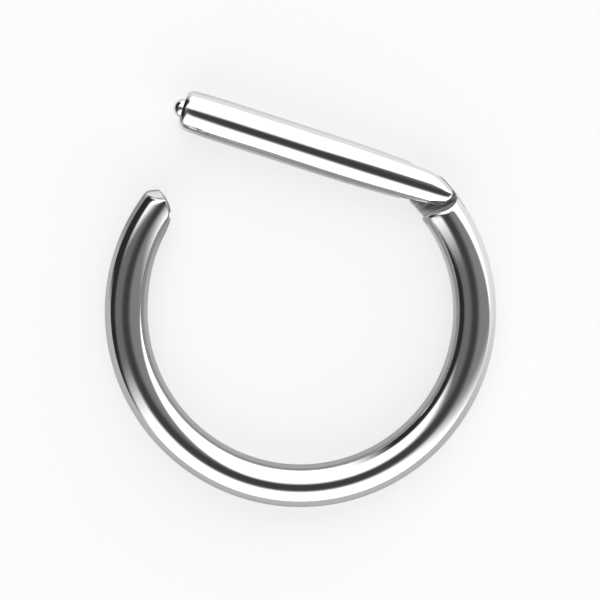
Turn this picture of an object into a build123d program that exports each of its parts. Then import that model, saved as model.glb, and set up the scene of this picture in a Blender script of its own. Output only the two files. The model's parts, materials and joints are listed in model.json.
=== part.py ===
"""D-ring earring: a hinged D of round polished steel wire, lying on its side, shown open.

The ring lies flat: its plane is XY, the hinge turns about Z and the wire rests on z = 0.
The straight side of the closed D runs along X. In the rest pose it stands open.
"""
import os
from math import asin, cos, degrees, radians, sin, sqrt

from build123d import *

# The D, in millimetres
wire = 1.2              # diameter of the round wire, 16 gauge
inside_diameter = 8.6   # across the round inside
bar_height = 3.12       # from the ring's centre to the axis of the closed straight side
open_angle = 22.3       # how far the straight side stands open at rest, in degrees

# The arc's free end
end_reach = 0.33        # the end face stands this far past the corner of the D
end_round = 0.24        # polished edge of the end face

# The straight bar
bar_end_gap = 0.05      # between the bar's end and the arc's end face when closed
free_end_diameter = 1.12
hinge_end_diameter = 0.98
free_taper = 1.35       # length of the gentle taper at the free end
straight_length = 2.6   # true cylinder in the middle of the bar
bar_end_round = 0.16    # polished edge of the bar's free end

# The hinge
pivot_offset = 0.21     # the pin's axis lies this far outside the wire's centreline
knuckle_radius = 0.5    # round end of the bar's cheeks, about the pin
knuckle_round = 0.09    # polished edge of that round end
shoulder_gap = 0.15     # between the knuckle and the arc's hollow shoulder
shoulder_round = 0.1    # polished edge of the shoulder
shoulder_slope = 10.85  # the shoulder falls away towards the inside by this angle
tongue_thickness = 0.4
tongue_inset = 0.07     # the tongue is this much narrower than the wire on the inside
slot_side_gap = 0.03    # between the tongue and each cheek
slot_end_gap = 0.08     # between the tongue's end and the bottom of the slot
pin_diameter = 0.4
pin_turning_gap = 0.02  # pin to tongue, which turns on it
pin_seat_gap = 0.01     # pin to cheeks, which hold it

# The catch
nub_radius = 0.28       # round-ended stud in the bar's free end
nub_depth = 0.5         # how deep the stud sits in the bar
nub_seat_gap = 0.01     # stud to its hole
catch_gap = 0.04        # stud to the seat in the arc's end
catch_sweep = 15        # the seat is open to the outside over this much of the swing, in degrees

os.makedirs("parts", exist_ok=True)

wire_radius = wire / 2
centreline = inside_diameter / 2 + wire_radius
outside_radius = centreline + wire_radius
pivot_radius = centreline + pivot_offset
pivot_angle = degrees(asin(bar_height / pivot_radius))
corner_angle = 180 - degrees(asin(bar_height / centreline))
corner_x = -sqrt(centreline**2 - bar_height**2)
pivot_x = sqrt(pivot_radius**2 - bar_height**2)
end_face_x = corner_x + end_reach
bar_length = pivot_x - end_face_x - bar_end_gap
free_end_radius = free_end_diameter / 2
hinge_end_radius = hinge_end_diameter / 2
shoulder_radius = knuckle_radius + shoulder_gap
slot_depth = wire_radius + pivot_offset + slot_end_gap
slot_half = tongue_thickness / 2 + slot_side_gap

# The open end of the bar is the topmost point, and the origin is the middle of the outline
open_top = (
    bar_height
    + (bar_length - bar_end_round) * sin(radians(open_angle))
    + (free_end_radius - bar_end_round) * cos(radians(open_angle))
    + bar_end_round
)
upright = Vector(0, 0, 1)
centre = Vector(0, (outside_radius - open_top) / 2, wire_radius)
pivot = centre + Vector(pivot_x, bar_height, 0)
corner = centre + Vector(corner_x, bar_height, 0)
end_face_middle = centre + Vector(end_face_x, bar_height, 0)
tongue_end = centre + Vector(centreline, 0, 0).rotate(Axis.Z, pivot_angle)
bar_direction = Vector(-1, 0, 0).rotate(Axis.Z, -open_angle)
slope_direction = Vector(1, 0, 0).rotate(Axis.Z, shoulder_slope)
tongue_direction = Vector(0, 1, 0).rotate(Axis.Z, pivot_angle)
corner_direction = Vector(0, 1, 0).rotate(Axis.Z, corner_angle)

ring_plane = Plane(origin=centre, x_dir=Vector(1, 0, 0), z_dir=upright)
bar_plane = Plane(origin=pivot, x_dir=bar_direction, z_dir=upright)
shoulder_plane = Plane(origin=pivot, x_dir=slope_direction, z_dir=upright)
ring_axis = Axis(centre, upright)
pin_axis = Axis(pivot, upright)
bar_axis = Axis(pivot, bar_direction)
beyond = 2 * wire       # cutting shapes reach this far past the metal


def draw_half_bar():
    """Half of the bar's outline, from past the pin to the free end, above the bar's axis."""
    free_shoulder = (bar_length - free_taper, wire_radius)
    hinge_shoulder = (bar_length - free_taper - straight_length, wire_radius)
    hinge_end = (-beyond, hinge_end_radius)
    free_end = (bar_length, free_end_radius)
    with BuildLine() as outline:
        Line((-beyond, 0), hinge_end)
        Line(hinge_end, (0, hinge_end_radius))
        TangentArc(hinge_shoulder, (0, hinge_end_radius), tangent=(-1, 0))
        Line(hinge_shoulder, free_shoulder)
        TangentArc(free_shoulder, free_end, tangent=(1, 0))
        Line(free_end, (bar_length, 0))
        Line((bar_length, 0), (-beyond, 0))
    make_face(outline.edges())


# Tongue: the end of the wire beyond the shoulder, a ball end milled flat on both sides
with BuildPart() as tongue:
    with BuildSketch(Plane(origin=tongue_end, x_dir=tongue_end - centre, z_dir=tongue_direction)):
        Circle(wire_radius)
    revolve(axis=ring_axis, revolution_arc=-degrees((shoulder_radius + wire) / centreline))
    with Locations(tongue_end):
        Sphere(wire_radius)
    with Locations(pivot):
        Box(inside_diameter, inside_diameter, tongue_thickness, mode=Mode.INTERSECT)
    with Locations(centre):
        Cylinder(inside_diameter / 2 + tongue_inset, beyond, mode=Mode.SUBTRACT)

# Ring arc: one wire, rounded at the free end, hollowed at the shoulder, with the tongue past it
with BuildPart() as ring_arc:
    with BuildSketch(Plane(origin=corner, x_dir=upright, z_dir=corner_direction)):
        Circle(wire_radius)
    revolve(axis=ring_axis, revolution_arc=360 - corner_angle + pivot_angle)
    with Locations(corner):
        Sphere(wire_radius)

    # The end face, square to the closed bar
    with BuildSketch(ring_plane):
        with Locations((end_face_x, bar_height)):
            Rectangle(beyond, beyond, align=(Align.MIN, Align.CENTER))
    extrude(amount=wire, both=True, mode=Mode.SUBTRACT)
    end_face = ring_arc.faces().sort_by_distance(end_face_middle)[0]
    fillet(end_face.outer_wire().edges(), end_round)

    # The shoulder, from above: round about the pin, then straight towards the inside
    with BuildSketch(shoulder_plane):
        Circle(shoulder_radius)
        with Locations((0, -shoulder_radius)):
            Rectangle(centreline, centreline, align=(Align.MAX, Align.MIN))
    extrude(amount=wire, both=True, mode=Mode.SUBTRACT)
    fillet(ring_arc.edges(Select.LAST).filter_by(GeomType.BSPLINE), shoulder_round)
    add(tongue.part)

    # The seat of the catch, which the stud swings into from outside
    with BuildSketch(Plane(origin=pivot, x_dir=Vector(-1, 0, 0), z_dir=Vector(0, 1, 0))):
        with Locations((bar_length, 0)):
            Circle(nub_radius + catch_gap)
    revolve(axis=pin_axis, revolution_arc=-catch_sweep, mode=Mode.SUBTRACT)
    with Locations(pivot - Vector(bar_length, 0, 0)):
        Sphere(nub_radius + catch_gap, mode=Mode.SUBTRACT)

    # The hole in the tongue turns on the pin
    with Locations(pivot):
        Cylinder(pin_diameter / 2 + pin_turning_gap, beyond, mode=Mode.SUBTRACT)

# Hinged bar: a gently barrelled rod with a slot that leaves two cheeks
with BuildPart() as hinged_bar:
    with BuildSketch(bar_plane):
        draw_half_bar()
    revolve(axis=bar_axis)
    free_edge = hinged_bar.edges().sort_by(bar_axis)[-1]
    fillet(free_edge, bar_end_round)

    # The round knuckle about the pin
    with BuildSketch(bar_plane):
        Rectangle(2 * beyond, beyond, align=(Align.MAX, Align.CENTER))
        Circle(knuckle_radius, mode=Mode.SUBTRACT)
    extrude(amount=wire, both=True, mode=Mode.SUBTRACT)
    fillet(hinged_bar.edges(Select.LAST).filter_by(GeomType.BSPLINE), knuckle_round)

    # The slot for the tongue, the hole for the pin and the hole for the stud
    with BuildSketch(bar_plane):
        with Locations((slot_depth, 0)):
            Rectangle(beyond, beyond, align=(Align.MAX, Align.CENTER))
    extrude(amount=slot_half, both=True, mode=Mode.SUBTRACT)
    with Locations(pivot):
        Cylinder(pin_diameter / 2 + pin_seat_gap, beyond, mode=Mode.SUBTRACT)
    with BuildSketch(Plane(origin=pivot + bar_direction * bar_length, z_dir=bar_direction)):
        Circle(nub_radius + nub_seat_gap)
    extrude(amount=-nub_depth - nub_seat_gap, mode=Mode.SUBTRACT)

# Hinge pin: a rivet whose ends are polished flush with the bar's round surface
with BuildPart() as hinge_pin:
    with BuildSketch(bar_plane):
        draw_half_bar()
    revolve(axis=bar_axis)
    with Locations(pivot):
        Cylinder(pin_diameter / 2, beyond, mode=Mode.INTERSECT)

# Catch nub: a stud with a half-ball end
with BuildPart() as catch_nub:
    with BuildSketch(Plane(origin=pivot + bar_direction * bar_length, z_dir=bar_direction)):
        Circle(nub_radius)
    extrude(amount=-nub_depth)
    with Locations(pivot + bar_direction * bar_length):
        Sphere(nub_radius)

pieces = {
    "ring_arc": ring_arc,
    "hinged_bar": hinged_bar,
    "hinge_pin": hinge_pin,
    "catch_nub": catch_nub,
}
for name, piece in pieces.items():
    piece.part.label = name
    export_step(piece.part, f"parts/{name}.step")
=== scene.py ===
import json
from math import acos, asin, atan2, cos, hypot, pi, radians, sin, sqrt

import bpy
from mathutils import Matrix, Vector


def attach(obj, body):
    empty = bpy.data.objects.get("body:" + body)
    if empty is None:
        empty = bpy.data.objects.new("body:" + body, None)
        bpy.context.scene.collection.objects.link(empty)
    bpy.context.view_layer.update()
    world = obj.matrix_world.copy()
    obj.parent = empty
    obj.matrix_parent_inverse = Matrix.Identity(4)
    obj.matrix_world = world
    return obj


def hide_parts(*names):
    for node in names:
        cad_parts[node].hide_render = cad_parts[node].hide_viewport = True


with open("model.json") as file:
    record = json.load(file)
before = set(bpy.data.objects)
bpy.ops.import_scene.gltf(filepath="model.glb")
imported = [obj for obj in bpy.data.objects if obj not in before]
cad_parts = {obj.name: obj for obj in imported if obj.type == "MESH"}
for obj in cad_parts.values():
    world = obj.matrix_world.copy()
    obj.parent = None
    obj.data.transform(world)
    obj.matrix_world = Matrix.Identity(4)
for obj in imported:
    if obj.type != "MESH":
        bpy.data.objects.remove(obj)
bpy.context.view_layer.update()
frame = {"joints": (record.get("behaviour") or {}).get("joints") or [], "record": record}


# Camera: a long macro lens straight above the ring, which lies on its side.
# The picture shows the D square on and turned a few degrees.
picture_width = 0.016878      # what the picture spans at the height of the wire's centreline
picture_middle = (0.000015, -0.000134)
picture_turn = radians(4.45)
lens_length = 180
sensor_width = 36
nearest_seen = 0.001
wire_radius = frame["record"]["mounts"][0]["dims"]["r_mm"] / 1000
camera_height = wire_radius + picture_width * lens_length / sensor_width

bpy.ops.object.camera_add(
    location=(*picture_middle, camera_height), rotation=(0, 0, -picture_turn)
)
camera = bpy.context.object
camera.data.lens = lens_length
camera.data.sensor_width = sensor_width
camera.data.clip_start = nearest_seen
bpy.context.scene.camera = camera
bpy.context.scene.view_settings.view_transform = "Standard"


# Floor: matt white board that the ring lies on. The camera sees it plain white; in the polished
# wire it shows painted reflection: greyer, with painted light and painted shade and, only for the
# sides of the wire, a painted light patch by the free end and a painted dark strip farther out.
floor_size = 4
floor_white = 0.33
floor_glow = 0.65             # the board is lit from within too, so shadows on it are faint

# Painted reflection: how light the floor is painted for what the wire reflects
floor_tone = 0.6              # below the ring
bright_tone = 1.0             # painted light above the ring and to its right
inside_tone = 0.28            # painted shade in the middle of the ring
shade_tone = 0.38             # painted shade below the bar
# Painted light patch on the floor, seen only in the wire
painted_patch_tone = 1.0
# Painted dark strip on the floor, seen only in the wire
painted_strip_tone = 0.03

# Where each of these starts and where it is full, in millimetres from the middle of the ring or
# in degrees about it
bright_direction = (0.6, 0.8)
bright_edge = (-1, 6)
inside_edge = (0.5, 4.2)
square_to_bar = (0.38, 0.925)
bar_distance = 4              # from the middle of the ring to the bar's axis
shade_top = (1.1, 2.1)        # below the bar's axis
shade_bottom = (3.2, 4.6)
shade_right = (2.2, 3.2)
# Painted light patch by the free end
painted_patch_middle = -3.9
painted_patch_side = (0.6, 1.2)
painted_patch_bottom = (3.6, 4.4)
# Painted dark strip farther out
painted_strip_near = (7.6, 9.2)
painted_strip_right = (104, 124)
painted_strip_left = (162, 180)
to_millimetres = 1000
to_degrees = 180 / pi


class Signal:
    """A node's output that takes part in ordinary arithmetic."""

    def __init__(self, tree, socket):
        self.tree = tree
        self.socket = socket

    def node(self, kind, settings, sockets):
        """Add any other node. Its settings are set first, then its sockets get values or links."""
        made = self.tree.nodes.new(kind)
        for name, value in settings.items():
            setattr(made, name, value)
        for name, value in sockets.items():
            if isinstance(value, Signal):
                self.tree.links.new(value.socket, made.inputs[name])
            else:
                made.inputs[name].default_value = value
        return Signal(self.tree, made.outputs[0])

    def parts(self):
        """The x, y and z of a vector."""
        split = self.node("ShaderNodeSeparateXYZ", {}, {"Vector": self})
        return [Signal(self.tree, output) for output in split.socket.node.outputs]

    def math(self, operation, *values):
        """Add a Math node on these values, or on this one alone."""
        sockets = dict(enumerate(values or (self,)))
        return self.node("ShaderNodeMath", {"operation": operation}, sockets)

    def __add__(self, other):
        return self.math("ADD", self, other)

    __radd__ = __add__

    def __sub__(self, other):
        return self.math("SUBTRACT", self, other)

    def __rsub__(self, other):
        return self.math("SUBTRACT", other, self)

    def __mul__(self, other):
        return self.math("MULTIPLY", self, other)

    __rmul__ = __mul__

    def __truediv__(self, other):
        return self.math("DIVIDE", self, other)

    def rises(self, low, high):
        """0 up to low, 1 from high on, and a soft edge between them."""
        return self.node(
            "ShaderNodeMapRange",
            {"interpolation_type": "SMOOTHSTEP"},
            {"Value": self, "From Min": low, "From Max": high},
        )


bpy.ops.mesh.primitive_plane_add(size=floor_size)
floor = bpy.context.object
floor.name = "floor"
board = bpy.data.materials.new("matt_white_board")
board.use_nodes = True
sheet = board.node_tree
place = Signal(sheet, sheet.nodes.new("ShaderNodeTexCoord").outputs["Object"])
across, along = (part * to_millimetres for part in place.parts()[:2])
distance = (across * across + along * along).math("SQRT")
heading = along.math("ARCTAN2", along, across) * to_degrees
# Painted reflection, for rays from the wire only: painted light above the ring and to its right,
# painted shade in its middle
brightness = (across * bright_direction[0] + along * bright_direction[1]).rises(*bright_edge)
outside = floor_tone + brightness * (bright_tone - floor_tone)
tone = inside_tone + distance.rises(*inside_edge) * (outside - inside_tone)
# Painted shade on the floor below the bar, seen only in the wire
below_bar = bar_distance - across * square_to_bar[0] - along * square_to_bar[1]
shaded = below_bar.rises(*shade_top) * (1 - below_bar.rises(*shade_bottom))
shaded = shaded * (1 - across.rises(*shade_right))
tone = tone + shaded * (shade_tone - tone)
# A painted light patch on the floor by the free end, only for reflections in the wire
beside_painted_patch = (across - painted_patch_middle).math("ABSOLUTE")
painted_light_patch = (1 - beside_painted_patch.rises(*painted_patch_side)) * along.rises(*painted_patch_bottom)
tone = tone + painted_light_patch * (painted_patch_tone - tone)
# A painted dark strip on the floor farther out, only for reflections in the wire
painted_dark_strip = distance.rises(*painted_strip_near) * heading.rises(*painted_strip_right)
painted_dark_strip = painted_dark_strip * (1 - heading.rises(*painted_strip_left))
tone = tone + painted_dark_strip * (painted_strip_tone - tone)
# The camera sees the board plain white; the painted tones above reach only the wire's reflections
seen = Signal(sheet, sheet.nodes.new("ShaderNodeLightPath").outputs["Is Camera Ray"])
tone = tone + seen * (floor_white - tone)
board_shader = sheet.nodes["Principled BSDF"]
sheet.links.new(tone.socket, board_shader.inputs["Base Color"])
glow = seen * floor_glow
sheet.links.new(glow.socket, board_shader.inputs["Emission Color"])
board_shader.inputs["Emission Strength"].default_value = 1
board_shader.inputs["Roughness"].default_value = 1
board_shader.inputs["Specular IOR Level"].default_value = 0
floor.data.materials.append(board)


# Light: the ring lies in a dim grey studio with a tall white panel above it in the picture and a
# lower one below it. A black card stands low on the left, and the lens looks through a dark gap.
panel_light = 1.7
wall_light = 0.18
right_wall_light = 0.26
black_light = 0.028
gap_light = 0.058
low_light = 0.5               # from below the horizon
studio_white = (1, 1, 1, 1)

# Soft edges, in degrees: round the lens, from its axis and from the middle of the gap. A slant is
# how many degrees an edge turns for each degree away from the axis.
gap_tilt = radians(8)         # the dark gap lies this much nearer the lower panel
gap_edge = (8, 34)
upper_right = (72, 86)
upper_right_slant = 0.9
upper_left = (112, 138)
upper_left_slant = 0.5
upper_near = (10, 24)
lower_right = (40, 100)
lower_right_slant = 0.5
lower_left = (132, 166)
lower_near = (12, 32)
black_top = (98, 126)
black_bottom = (205, 225)
black_bottom_slant = 0.8
black_near = (52, 66)
wall_change = (-0.2, 0.6)     # share of the way to the right
horizon = (90, 93)

studio = bpy.data.worlds.new("studio")
bpy.context.scene.world = studio
studio.use_nodes = True
sky = studio.node_tree
sky.nodes.clear()
looking = Signal(sky, sky.nodes.new("ShaderNodeTexCoord").outputs["Generated"])
turned = looking.node(
    "ShaderNodeVectorRotate",
    {"rotation_type": "Z_AXIS"},
    {"Vector": looking, "Angle": picture_turn},
)
right, up, front = turned.parts()
from_axis = front.math("ARCCOSINE") * to_degrees
from_gap = (front * cos(gap_tilt) - up * sin(gap_tilt)).math("ARCCOSINE") * to_degrees
heading = up.math("ARCTAN2", up, right) * to_degrees
below = 0 - heading

upper_panel = (heading + from_axis * upper_right_slant).rises(*upper_right)
upper_panel = upper_panel * (1 - (heading - from_axis * upper_left_slant).rises(*upper_left))
upper_panel = upper_panel * from_gap.rises(*upper_near)
lower_panel = (below + from_axis * lower_right_slant).rises(*lower_right)
lower_panel = lower_panel * (1 - below.rises(*lower_left)) * from_gap.rises(*lower_near)
black_top_side = heading.rises(*black_top)
black_bottom_side = (below + from_axis * black_bottom_slant).rises(*black_bottom)
black_card = (black_top_side + black_bottom_side) * from_axis.rises(*black_near)
gap = 1 - from_gap.rises(*gap_edge)
walls = wall_light + right.rises(*wall_change) * (right_wall_light - wall_light)
light = walls + upper_panel * panel_light + lower_panel * panel_light
light = light * (1 - black_card) + black_card * black_light
light = light * (1 - gap) + gap * gap_light
underneath = from_axis.rises(*horizon)
light = light * (1 - underneath) + underneath * low_light
shade = light.node("ShaderNodeBackground", {}, {"Color": studio_white, "Strength": light})
sky.links.new(shade.socket, sky.nodes.new("ShaderNodeOutputWorld").inputs["Surface"])


# Curved wire of the ring, surgical steel, drawn, bent and mirror polished. It ends in a domed face
# with the seat of the catch, and in a hollow shoulder with a flat tongue for the hinge.
inside_radius = 0.0043
bar_height = 0.00312
pivot_offset = 0.00021
centreline = inside_radius + wire_radius
pivot_radius = centreline + pivot_offset
pivot = Vector(frame["joints"][0]["pos_m"])
pivot_angle = asin(bar_height / pivot_radius)
centre = pivot - Vector((pivot_radius * cos(pivot_angle), bar_height, 0))
corner_angle = pi - asin(bar_height / centreline)
section_count = 96            # points round the wire
wire_steps = 320              # and sections along it

shoulder_radius = 0.00065
shoulder_slope = radians(10.85)
shoulder_round = 0.0001
shoulder_start = radians(26.5)
shoulder_normal = Vector((sin(shoulder_slope), -cos(shoulder_slope), 0))
shoulder_along = Vector((cos(shoulder_slope), sin(shoulder_slope), 0))
shoulder_middle = -0.00005
shoulder_steps = (0.25, 1 / 3, 1)               # each goes this share of the way that is left
shoulder_face_steps = (0.72, 0.7, 0.6, 0.4)     # and each of these is this much narrower
to_pivot = pivot - centre

end_length = 0.0007           # of wire before the corner that is laid anew, up to the end face
end_start = corner_angle + end_length / centreline
end_pitch = radians(0.3)
end_search = 30               # halvings to find where a line of the wire meets the end face
slide_rings = 44
edge_rings = 6
face_shares = (0.75, 0.5, 0.25)
end_reach = 0.00034           # the domed end face stands this far past the corner
end_dome = 570                # times the square of the distance from its top, it falls back
end_dome_top = -0.00005
end_edge = 0.00007            # polished edge of the end face
cap_reach = 0.00061           # beyond the corner the outer side turns square to the bar here
cap_fall = 0.00034            # and leans in by this much up to the crest
cap_power = 1.6
cap_soft = 0.00012            # half the length of its rounded crease
slim_start = radians(175)     # from here to the corner the inner side of the wire gets
slim = 0.16                   # this much flatter
ball_rings = 24
round_steps = 8               # faces across a bevelled edge

tongue_thickness = 0.0004
tongue_crown = 60             # times the square of the distance from the pin, its flats fall
tongue_start = radians(24)
tongue_steps = 24
tongue_inset = 0.00007
tongue_soft = 0.00007         # polished edges of the tongue
hair = 0.000003               # the tongue's root is this much thinner than the wire around it
tongue_hole = 0.00022
hole_facets = 64

bar_length = 0.0074453
seat_radius = 0.00032
seat_sweep = radians(15)
seat_steps = 16
seat_facets = 48

wire_sharp = radians(40)      # a sharper edge than this isn't shaded smooth
tool_sharp = radians(30)      # the same on the tongue, the seat and all else that is cut


def extrude_ring(piece, place):
    """Extrude the selected ring of vertices and put each new one where place says.

    Returns the numbers of the new vertices.
    """
    bpy.ops.mesh.extrude_region_move()
    bpy.ops.object.mode_set(mode="OBJECT")
    ring = [vertex for vertex in piece.data.vertices if vertex.select]
    for vertex in ring:
        vertex.co = place(vertex.co.copy())
    numbers = {vertex.index for vertex in ring}
    bpy.ops.object.mode_set(mode="EDIT")
    return numbers


def select_ring(piece, numbers):
    """Select only these vertices, and the edges between them."""
    bpy.ops.mesh.select_mode(type="VERT")
    bpy.ops.mesh.select_all(action="DESELECT")
    bpy.ops.object.mode_set(mode="OBJECT")
    for number in numbers:
        piece.data.vertices[number].select = True
    bpy.ops.object.mode_set(mode="EDIT")


def around(point, axis, angle):
    """The point turned about a vertical axis."""
    return axis + Matrix.Rotation(angle, 3, "Z") @ (point - axis)


def start_round(name, facets, radius, place, rotation):
    """Start a round piece from a circle, in edit mode with all of it selected.

    Returns the piece and the numbers of the circle's vertices.
    """
    bpy.ops.object.select_all(action="DESELECT")
    bpy.ops.mesh.primitive_circle_add(
        vertices=facets, radius=radius, location=place, rotation=rotation
    )
    bpy.ops.object.transform_apply()
    piece = bpy.context.object
    piece.name = name
    bpy.ops.object.mode_set(mode="EDIT")
    bpy.ops.mesh.select_all(action="SELECT")
    return piece, {vertex.index for vertex in piece.data.vertices}


def start_wire(name, angle, radius):
    """Start a piece from a section of the wire at this angle on the ring."""
    place = centre + centreline * Vector((cos(angle), sin(angle), 0))
    return start_round(name, section_count, radius, place, (pi / 2, 0, angle))


def add_ball_end(piece, middle, pole, radius):
    """Round off the selected ring, which lies round middle, with a half ball towards pole."""
    for step in range(1, ball_rings):
        turn = pi / 2 / ball_rings * step

        def place(point):
            offset = point - middle
            flat = offset - offset.dot(pole) * pole
            return middle + radius * (cos(turn) * flat.normalized() + sin(turn) * pole)

        extrude_ring(piece, place)
    bpy.ops.mesh.extrude_region_move()
    bpy.ops.mesh.merge(type="CENTER")


def close_ring(piece, numbers):
    """Fill an open ring with one flat face."""
    select_ring(piece, numbers)
    bpy.ops.mesh.edge_face_add()


def apply_boolean(piece, tool, operation):
    """Cut the piece with the tool, or weld the two, and use the tool up."""
    bpy.ops.object.select_all(action="DESELECT")
    piece.select_set(True)
    bpy.context.view_layer.objects.active = piece
    modifier = piece.modifiers.new("boolean", "BOOLEAN")
    modifier.operation = operation
    modifier.solver = "EXACT"
    modifier.object = tool
    bpy.ops.object.modifier_apply(modifier=modifier.name)
    bpy.data.objects.remove(tool)


def finish_mesh(piece, sharp_angle):
    """Leave edit mode with the faces pointing outwards and the surface smooth."""
    bpy.ops.mesh.select_all(action="SELECT")
    bpy.ops.mesh.normals_make_consistent(inside=False)
    bpy.ops.object.mode_set(mode="OBJECT")
    bpy.ops.object.shade_smooth_by_angle(angle=sharp_angle)


def shoulder_angle(radius):
    """Where on the ring a line of the wire's surface at this radius meets the shoulder."""
    if radius > (to_pivot + shoulder_radius * shoulder_normal).length:
        share = (radius**2 + pivot_radius**2 - shoulder_radius**2) / (2 * radius * pivot_radius)
        return pivot_angle - acos(share)
    reach = to_pivot.dot(shoulder_normal) + shoulder_radius
    return shoulder_slope - pi / 2 + acos(reach / radius)


def to_shoulder(point, share):
    """Slide a point of the wire's surface round the ring towards the shoulder."""
    offset = point - centre
    radius = hypot(offset.x, offset.y)
    angle = atan2(offset.y, offset.x)
    return around(point, centre, (shoulder_angle(radius) - angle) * share)


def across_shoulder(point, share):
    """Pull a point of the shoulder's face towards the middle of the face."""
    offset = point - pivot
    along = offset.dot(shoulder_along)
    if along > 0:
        along = shoulder_radius * atan2(along, offset.dot(shoulder_normal))
    along = shoulder_middle + (along - shoulder_middle) * share
    height = wire_radius + (point.z - wire_radius) * share
    if along > 0:
        turn = along / shoulder_radius
        flat = shoulder_radius * (sin(turn) * shoulder_along + cos(turn) * shoulder_normal)
    else:
        flat = along * shoulder_along + shoulder_radius * shoulder_normal
    return Vector((pivot.x + flat.x, pivot.y + flat.y, height))


def pressed(reach, limit, softness):
    """A reach beyond the limit pressed back to it, with a rounded edge."""
    if reach < limit - softness:
        return reach
    if reach > limit + softness:
        return limit
    return reach - (reach - limit + softness) ** 2 / (4 * softness)


def slimmed(radius, angle):
    """The radius of a line on the wire's inner side, which gets flatter towards the free end."""
    share = min(max((slim_start - angle) / (slim_start - corner_angle), 0), 1)
    return radius + max(centreline - radius, 0) * slim * share**2 * (3 - 2 * share)


def end_face(side):
    """X of the end face, this far to the side of the closed bar's axis."""
    side = min(max(side, -wire_radius), cap_reach)
    return corner.x + end_reach - end_dome * (side - end_dome_top) ** 2


def wire_line(radius, height, way):
    """The point this far past the corner on a line of the wire, which runs straight there."""
    angle = corner_angle - min(way, 0) / centreline
    radius = slimmed(radius, angle)
    place = centre + radius * Vector((cos(angle), sin(angle), 0)) + max(way, 0) * wire_direction
    limit = cap_reach - cap_fall * (abs(height - wire_radius) / wire_radius) ** cap_power
    return Vector((place.x, corner.y + pressed(place.y - corner.y, limit, cap_soft), height))


def end_place(radius, height, ring):
    """Where a line of the wire goes at this ring: up to the end face, round its edge, over it."""
    near, far = -end_length, 4 * wire_radius
    for halving in range(end_search):
        way = (near + far) / 2
        place = wire_line(radius, height, way)
        if place.x < end_face(place.y - corner.y):
            near = way
        else:
            far = way
    side = place.y - corner.y
    level = height - wire_radius

    def on_face(share):
        x = end_face(side * share)
        return Vector((x, corner.y + side * share, wire_radius + level * share))

    if ring <= slide_rings:
        step = (way - end_edge + end_length) * ring / slide_rings
        return wire_line(radius, height, step - end_length)
    inner = on_face(1 - end_edge / hypot(side, level))
    if ring <= slide_rings + edge_rings:
        turn = (ring - slide_rings) / edge_rings
        outer = wire_line(radius, height, way - end_edge)
        return (1 - turn) ** 2 * outer + 2 * turn * (1 - turn) * place + turn**2 * inner
    return on_face(face_shares[ring - slide_rings - edge_rings - 1])


arc, shoulder_ring = start_wire("ring_arc_wire", shoulder_start, wire_radius)
bpy.ops.mesh.spin(
    steps=wire_steps, angle=shoulder_start + 2 * pi - end_start, center=centre, axis=(0, 0, 1)
)
corner = centre + centreline * Vector((cos(corner_angle), sin(corner_angle), 0))
wire_direction = Vector((sin(corner_angle), -cos(corner_angle), 0))
bpy.ops.object.mode_set(mode="OBJECT")
bent_count = len(arc.data.vertices)
bpy.ops.object.mode_set(mode="EDIT")
end_rings = slide_rings + edge_rings + len(face_shares)
bpy.ops.mesh.spin(steps=end_rings, angle=end_rings * end_pitch, center=centre, axis=(0, 0, 1))
bpy.ops.object.mode_set(mode="OBJECT")
for vertex in arc.data.vertices:
    offset = vertex.co - centre
    radius = hypot(offset.x, offset.y)
    angle = atan2(offset.y, offset.x)
    if vertex.index >= bent_count:
        vertex.co = end_place(radius, vertex.co.z, round((end_start - angle) / end_pitch))
    elif angle > pi / 2:
        share = slimmed(radius, angle) / radius
        vertex.co.x = centre.x + offset.x * share
        vertex.co.y = centre.y + offset.y * share
bpy.ops.object.mode_set(mode="EDIT")
bpy.ops.mesh.extrude_region_move()
bpy.ops.mesh.merge(type="CENTER")
select_ring(arc, shoulder_ring)
for share in shoulder_steps:
    rim = extrude_ring(arc, lambda point: to_shoulder(point, share))
for share in shoulder_face_steps:
    extrude_ring(arc, lambda point: across_shoulder(point, share))
bpy.ops.mesh.merge(type="CENTER")
select_ring(arc, rim)
bpy.ops.mesh.bevel(offset=shoulder_round, segments=round_steps, profile=0.5, affect="EDGES")
finish_mesh(arc, wire_sharp)

tongue, tongue_ring = start_wire("tongue", tongue_start, wire_radius - hair)
bpy.ops.mesh.spin(
    steps=tongue_steps, angle=pivot_angle - tongue_start, center=centre, axis=(0, 0, -1)
)
tongue_end = centre + centreline * Vector((cos(pivot_angle), sin(pivot_angle), 0))
tongue_direction = Vector((-sin(pivot_angle), cos(pivot_angle), 0))
add_ball_end(tongue, tongue_end, tongue_direction, wire_radius - hair)
close_ring(tongue, tongue_ring)
bpy.ops.object.mode_set(mode="OBJECT")
for vertex in tongue.data.vertices:
    height = vertex.co.z - wire_radius
    from_pin = hypot(vertex.co.x - pivot.x, vertex.co.y - pivot.y)
    flat = pressed(abs(height), tongue_thickness / 2 - tongue_crown * from_pin**2, tongue_soft)
    vertex.co.z = wire_radius + (flat if height > 0 else -flat)
    offset = vertex.co - centre
    radius = hypot(offset.x, offset.y)
    share = -pressed(-radius, -inside_radius - tongue_inset, tongue_soft / 2) / radius
    vertex.co.x = centre.x + offset.x * share
    vertex.co.y = centre.y + offset.y * share
bpy.ops.object.mode_set(mode="EDIT")
finish_mesh(tongue, tool_sharp)
bpy.ops.mesh.primitive_cylinder_add(
    vertices=hole_facets, radius=tongue_hole, depth=wire_radius, location=pivot
)
apply_boolean(tongue, bpy.context.object, "DIFFERENCE")
apply_boolean(arc, tongue, "UNION")

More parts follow.
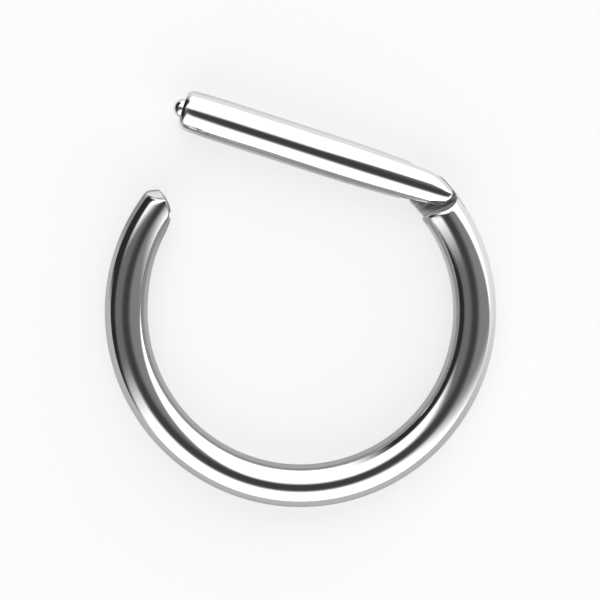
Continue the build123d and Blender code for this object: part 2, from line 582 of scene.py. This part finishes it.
closed_nub = pivot - Vector((bar_length, 0, 0))
seat, seat_ring = start_round("seat", seat_facets, seat_radius, closed_nub, (pi / 2, 0, 0))
bpy.ops.mesh.spin(steps=seat_steps, angle=seat_sweep, center=pivot, axis=(0, 0, 1))
bpy.ops.mesh.edge_face_add()
select_ring(seat, seat_ring)
add_ball_end(seat, closed_nub, Vector((0, -1, 0)), seat_radius)
finish_mesh(seat, tool_sharp)
apply_boolean(arc, seat, "DIFFERENCE")
bpy.ops.object.shade_smooth_by_angle(angle=tool_sharp)

# Finish of polished steel: tone and gloss vary a little with the polishing lines and with wear
steel_tone = 0.78
steel_roughness = 0.04
polish_relief = 0.0000001
darkest = 0.95                # share of the tone that the lines and the wear leave
line_tone = 0.04
wear_tone = 0.06
line_gloss = 0.03
wear_gloss = 0.03
line_pace = 3                 # the noise changes this fast along the polishing lines
line_fineness = 14            # and this fast across them, in a millimetre
wear_pace = 0.7
noise_detail = 3.0

# The milled tongue is duller and streaked, with painted shade in a ring round the knuckle, beside
# the bar's cheeks
milled_reach = (0.9, 1.2)     # square millimetres, the distance from the pin squared
milled_level = (0.2, 0.27)    # millimetres from the middle of the wire
painted_shade_reach = (0.3, 0.55)
milled_tone = 0.22            # where a streak is darkest
streak_tone = 0.9
painted_shade_tone = 0.42
milled_roughness = 0.32
streak_pace = (1.2, 0.4)      # the noise changes this fast across and along, with the streaks
streak_fineness = (-3, 9)     # and square to them


def start_steel(name):
    """A new material, and where a point of it lies in millimetres: across, along and up."""
    steel = bpy.data.materials.new(name)
    steel.use_nodes = True
    sheet = steel.node_tree
    place = Signal(sheet, sheet.nodes.new("ShaderNodeTexCoord").outputs["Object"])
    across, along, height = place.parts()
    return steel, across * to_millimetres, along * to_millimetres, height * to_millimetres


def drawn_noise(first, second, third, fourth=0.0):
    """Noise with these coordinates. It is drawn out long where they change slowly."""
    place = first.node("ShaderNodeCombineXYZ", {}, {"X": first, "Y": second, "Z": third})
    return place.node(
        "ShaderNodeTexNoise",
        {"noise_dimensions": "4D"},
        {"Vector": place, "W": fourth, "Scale": 1.0, "Detail": noise_detail},
    )


def finish_steel(steel, tone, lines, wear, roughness, relief):
    """Polished metal with this noise for its polishing lines and for its wear."""
    sheet = steel.node_tree
    shader = sheet.nodes["Principled BSDF"]
    shade = tone * (darkest + wear * wear_tone + lines * line_tone)
    gloss = roughness + lines * line_gloss + wear * wear_gloss
    bump = lines.node(
        "ShaderNodeBump", {}, {"Strength": 1.0, "Distance": relief, "Height": lines}
    )
    sheet.links.new(shade.socket, shader.inputs["Base Color"])
    sheet.links.new(gloss.socket, shader.inputs["Roughness"])
    sheet.links.new(bump.socket, shader.inputs["Normal"])
    shader.inputs["Metallic"].default_value = 1


# Polishing lines run round the ring with the wire
arc_steel, across, along, height = start_steel("mirror_polished_steel")
side = along - centre.y * to_millimetres
radius = (across * across + side * side).math("SQRT")
round_x = across / radius * line_pace
round_y = side / radius * line_pace
lines = drawn_noise(round_x, round_y, radius * line_fineness, height * line_fineness)
wear = drawn_noise(across * wear_pace, along * wear_pace, height * wear_pace)
pin_across = across - pivot.x * to_millimetres
pin_along = along - pivot.y * to_millimetres
from_pin = pin_across * pin_across + pin_along * pin_along
level = (height - wire_radius * to_millimetres).math("ABSOLUTE")
milled = (1 - from_pin.rises(*milled_reach)) * (1 - level.rises(*milled_level))
# Painted shade on the tongue in a ring just round the knuckle
painted_knuckle_shade = 1 - from_pin.rises(*painted_shade_reach)
streaks = drawn_noise(
    across * streak_pace[0] + along * streak_pace[1],
    along * streak_fineness[1] + across * streak_fineness[0],
    height,
)
# Tone of the milled faces: streaks, less the painted shade round the knuckle
dulled = streaks * streak_tone - painted_knuckle_shade * painted_shade_tone + (milled_tone - steel_tone)
roughness = steel_roughness + milled * milled_roughness
finish_steel(arc_steel, steel_tone + milled * dulled, lines, wear, roughness, polish_relief)
arc.data.materials.append(arc_steel)
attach(arc, "arc")
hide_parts("ring_arc")


# Straight bar of the D, a turned and polished steel rod, a little thicker in the middle. A slot at
# the hinge leaves two cheeks over the tongue, and the end is rounded about the pin.
bar_direction = Vector(frame["record"]["mounts"][0]["axis"])
bar_turn = atan2(bar_direction.y, bar_direction.x)
body_rings = 48
hinge_radius = 0.00049        # of the bar over the pin
hinge_crown = 0.0034953       # the crown reaches its full thickness here
free_crown = 0.0060953        # and starts to taper to the free end here
free_radius = 0.00056
free_edge_length = 0.00018
free_edge_depth = 0.00011
free_edge_power = 1.35        # 1 is a plain chamfer and 2 is a round edge
free_edge_rings = 12

knuckle_radius = 0.0005
knuckle_round = 0.00008
knuckle_start = 0.00045
knuckle_steps = (0.12, 0.14, 0.16, 0.19, 0.23, 0.3, 1)      # shares, as at the shoulder
knuckle_face_steps = (0.5, 0.75, 0.67, 0.5)
knuckle_search = 8            # rounds to find where a line of the bar meets the knuckle
lean_start = 0.00025          # from here to the round end the outer side leans in
lean_slope = 0.15
lean_curve = 430
bar_sharp = radians(35)

slot_half = 0.00023
slot_depth = 0.00089
pin_hole = 0.0002005
stud_hole = 0.0002805
stud_hole_depth = 0.0003
bar_line_pace = 0.6           # as line_pace, along the bar


def crown(along):
    """Radius of the bar at this distance from the pin."""
    hinge_drop = wire_radius - hinge_radius
    free_drop = wire_radius - free_radius
    if along > free_crown:
        return wire_radius - free_drop * ((along - free_crown) / (bar_length - free_crown)) ** 2
    if along > hinge_crown:
        return wire_radius
    return wire_radius - hinge_drop * ((hinge_crown - along) / hinge_crown) ** 2


def on_crown(point, along, radius):
    """The point of a bar's section moved to this place along the bar and this radius."""
    size = hypot(point.y, point.z)
    return Vector((along, point.y * radius / size, point.z * radius / size))


def outer_share(along):
    """How much of its radius the bar keeps on its outer side, which leans in over the pin."""
    past = max(lean_start - along, 0)
    return 1 - (lean_slope * past + lean_curve * past**2) / crown(along)


def to_knuckle(point, share):
    """Slide a point of the bar's surface towards the round end about the pin."""
    end = 0
    for trial in range(knuckle_search):
        side = point.y * crown(end) / hypot(point.y, point.z)
        side = side * (outer_share(end) if side < 0 else 1)
        end = -sqrt(knuckle_radius**2 - side**2)
    along = point.x + (end - point.x) * share
    return on_crown(point, along, crown(along))


def across_knuckle(point, share):
    """Pull a point of the knuckle's round face towards the middle of the face."""
    turn = atan2(point.y, -point.x) * share
    return Vector((-knuckle_radius * cos(turn), knuckle_radius * sin(turn), point.z * share))


def start_rod(name, facets, radius, along):
    """Start a rod from a section at this distance from the pin, with its axis on X."""
    return start_round(name, facets, radius, (along, 0, 0), (0, pi / 2, 0))


def lay_on_bar(piece):
    """Take a piece that lies along X, with the pin at zero, to its place on the bar."""
    piece.location = pivot
    piece.rotation_euler = (0, 0, bar_turn)
    bpy.ops.object.transform_apply()


bar, knuckle_ring = start_rod("hinged_bar_rod", section_count, crown(knuckle_start), knuckle_start)
edge_start = bar_length - free_edge_length
for step in range(1, body_rings + 1):
    along = knuckle_start + (edge_start - knuckle_start) * step / body_rings
    extrude_ring(bar, lambda point: on_crown(point, along, crown(along)))
for step in range(1, free_edge_rings + 1):
    turn = pi / 2 * step / free_edge_rings
    along = edge_start + free_edge_length * sin(turn) ** (2 / free_edge_power)
    drop = free_edge_depth * (1 - abs(cos(turn)) ** (2 / free_edge_power))
    extrude_ring(bar, lambda point: on_crown(point, along, crown(edge_start) - drop))
extrude_ring(bar, lambda point: on_crown(point, bar_length, stud_hole))
extrude_ring(bar, lambda point: on_crown(point, bar_length - stud_hole_depth, stud_hole))
bpy.ops.mesh.edge_face_add()
select_ring(bar, knuckle_ring)
for share in knuckle_steps:
    knuckle_rim = extrude_ring(bar, lambda point: to_knuckle(point, share))
for share in knuckle_face_steps:
    extrude_ring(bar, lambda point: across_knuckle(point, share))
bpy.ops.mesh.merge(type="CENTER")
bpy.ops.object.mode_set(mode="OBJECT")
for vertex in bar.data.vertices:
    if vertex.co.y < 0:
        vertex.co.y *= outer_share(vertex.co.x)
bpy.ops.object.mode_set(mode="EDIT")
select_ring(bar, knuckle_rim)
bpy.ops.mesh.bevel(offset=knuckle_round, segments=round_steps, profile=0.5, affect="EDGES")
finish_mesh(bar, bar_sharp)
lay_on_bar(bar)

# The pin is made of a copy of the whole rod, so that its ends follow the bar's surface
bpy.ops.object.select_all(action="DESELECT")
bar.select_set(True)
bpy.context.view_layer.objects.active = bar
bpy.ops.object.duplicate()
pin = bpy.context.object

bpy.ops.mesh.primitive_cube_add(
    size=1, location=pivot + bar_direction * (slot_depth - bar_length / 2)
)
slot_tool = bpy.context.object
slot_tool.rotation_euler = (0, 0, bar_turn)
slot_tool.scale = (bar_length, 3 * wire_radius, 2 * slot_half)
apply_boolean(bar, slot_tool, "DIFFERENCE")
bpy.ops.mesh.primitive_cylinder_add(
    vertices=hole_facets, radius=pin_hole, depth=4 * wire_radius, location=pivot
)
apply_boolean(bar, bpy.context.object, "DIFFERENCE")
bpy.ops.object.shade_smooth_by_angle(angle=bar_sharp)

# Polishing lines run along the bar
bar_steel, across, along, height = start_steel("bar_polished_steel")
lengthwise = across * bar_direction.x + along * bar_direction.y
sideways = along * bar_direction.x - across * bar_direction.y
lines = drawn_noise(
    lengthwise * bar_line_pace, sideways * line_fineness, height * line_fineness
)
wear = drawn_noise(lengthwise * wear_pace, sideways * wear_pace, height * wear_pace)
finish_steel(bar_steel, steel_tone, lines, wear, steel_roughness, polish_relief)
bar.data.materials.append(bar_steel)
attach(bar, "bar")
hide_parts("hinged_bar")


# Hinge pin, a steel rivet across both cheeks and the tongue. Its ends are ground and polished
# flush with the bar, so only a hairline shows.
pin_radius = 0.0002
pin_tone = 0.76
pin_roughness = 0.05
grinding_pace = 2             # the grinding runs slantwise over the ends
grinding_fineness = 14

pin.name = "hinge_pin_rivet"
bpy.ops.mesh.primitive_cylinder_add(
    vertices=hole_facets, radius=pin_radius, depth=4 * wire_radius, location=pivot
)
apply_boolean(pin, bpy.context.object, "INTERSECT")
bpy.ops.object.shade_smooth_by_angle(angle=tool_sharp)
pin_steel, across, along, height = start_steel("flush_ground_steel")
grinding = drawn_noise(
    across * grinding_pace + along * grinding_pace, (across - along) * grinding_fineness, height
)
wear = drawn_noise(across * wear_pace, along * wear_pace, height * wear_pace)
finish_steel(pin_steel, pin_tone, grinding, wear, pin_roughness, polish_relief)
pin.data.materials.append(pin_steel)
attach(pin, "bar")
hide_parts("hinge_pin")


# Stud of the catch, turned from steel with a round end and pressed into the free end of the bar.
# When the ring is closed it sits in the groove of the arc's end face.
nub_radius = 0.00028
nub_seat = 0.00029
nub_facets = 64
nub_tone = 0.77
nub_roughness = 0.05
turning_relief = 0.00000005
turning_pace = 1.5
turning_fineness = 30
nub_wear_pace = 2

nub, nub_ring = start_rod("catch_nub_stud", nub_facets, nub_radius, bar_length - nub_seat)
extrude_ring(nub, lambda point: on_crown(point, bar_length, nub_radius))
add_ball_end(nub, Vector((bar_length, 0, 0)), Vector((1, 0, 0)), nub_radius)
close_ring(nub, nub_ring)
finish_mesh(nub, bar_sharp)
lay_on_bar(nub)

# Turning lines run round the stud
nub_steel, across, along, height = start_steel("turned_steel")
lengthwise = across * bar_direction.x + along * bar_direction.y
sideways = along * bar_direction.x - across * bar_direction.y
turning = drawn_noise(
    lengthwise * turning_fineness, sideways * turning_pace, height * turning_pace
)
wear = drawn_noise(across * nub_wear_pace, along * nub_wear_pace, height * nub_wear_pace)
finish_steel(nub_steel, nub_tone, turning, wear, nub_roughness, turning_relief)
nub.data.materials.append(nub_steel)
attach(nub, "bar")
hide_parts("catch_nub")
